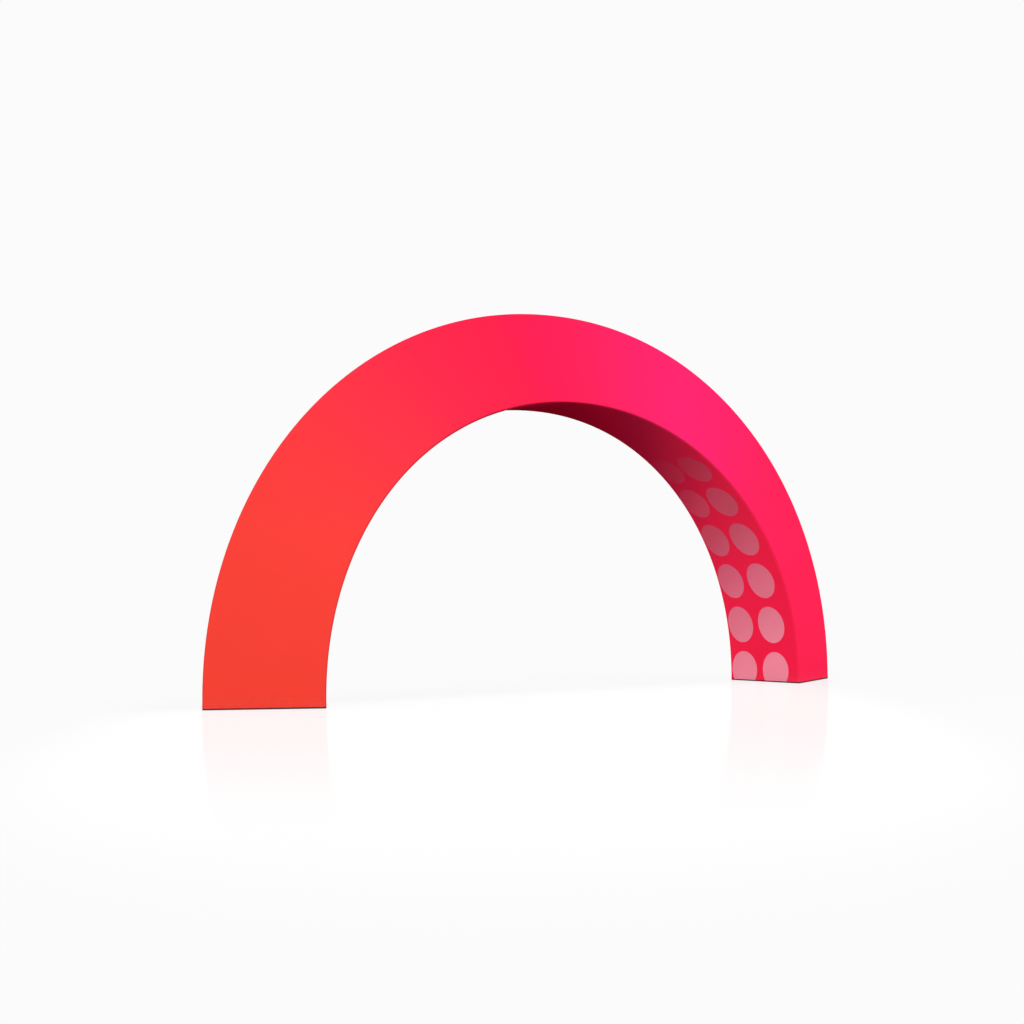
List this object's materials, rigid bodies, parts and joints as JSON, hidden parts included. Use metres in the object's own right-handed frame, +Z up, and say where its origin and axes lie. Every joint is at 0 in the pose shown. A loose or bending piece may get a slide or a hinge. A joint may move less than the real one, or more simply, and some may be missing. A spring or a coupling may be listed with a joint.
{
  "type": "fabric advertising arch on a bent-tube frame",
  "caption": "Walk-through arch of triangular section: a printed stretch-fabric cover over a bent-tube frame, with a dotted inner band, standing on flat foot plates.",
  "frame": {"origin": "on the ground, midway between the feet and midway through the depth", "axes": "+X to the right across the span, seen from the front; +Y through the arch, from the front to the back; +Z up"},
  "size_m": [6, 0.8536, 3],
  "materials": {
    "printed_cloth": "dye-printed stretch polyester, matt, red-orange running to hot pink",
    "soffit_cloth": "dye-printed stretch polyester, matt, with paler fading dots",
    "tube": "mill finish tube",
    "plate": "dark powder-coated steel plate"
  },
  "bodies": {
    "root": {"front_panel": "printed_cloth", "back_panel": "printed_cloth", "soffit_panel": "soffit_cloth", "ridge_hoop": "tube", "front_hoop": "tube", "back_hoop": "tube", "spreader_30_front": "tube", "spreader_30_back": "tube", "spreader_30_inner": "tube", "spreader_60_front": "tube", "spreader_60_back": "tube", "spreader_60_inner": "tube", "spreader_90_front": "tube", "spreader_90_back": "tube", "spreader_90_inner": "tube", "spreader_120_front": "tube", "spreader_120_back": "tube", "spreader_120_inner": "tube", "spreader_150_front": "tube", "spreader_150_back": "tube", "spreader_150_inner": "tube", "foot_plate_left": "plate", "foot_plate_right": "plate"}
  },
  "joints": []
}
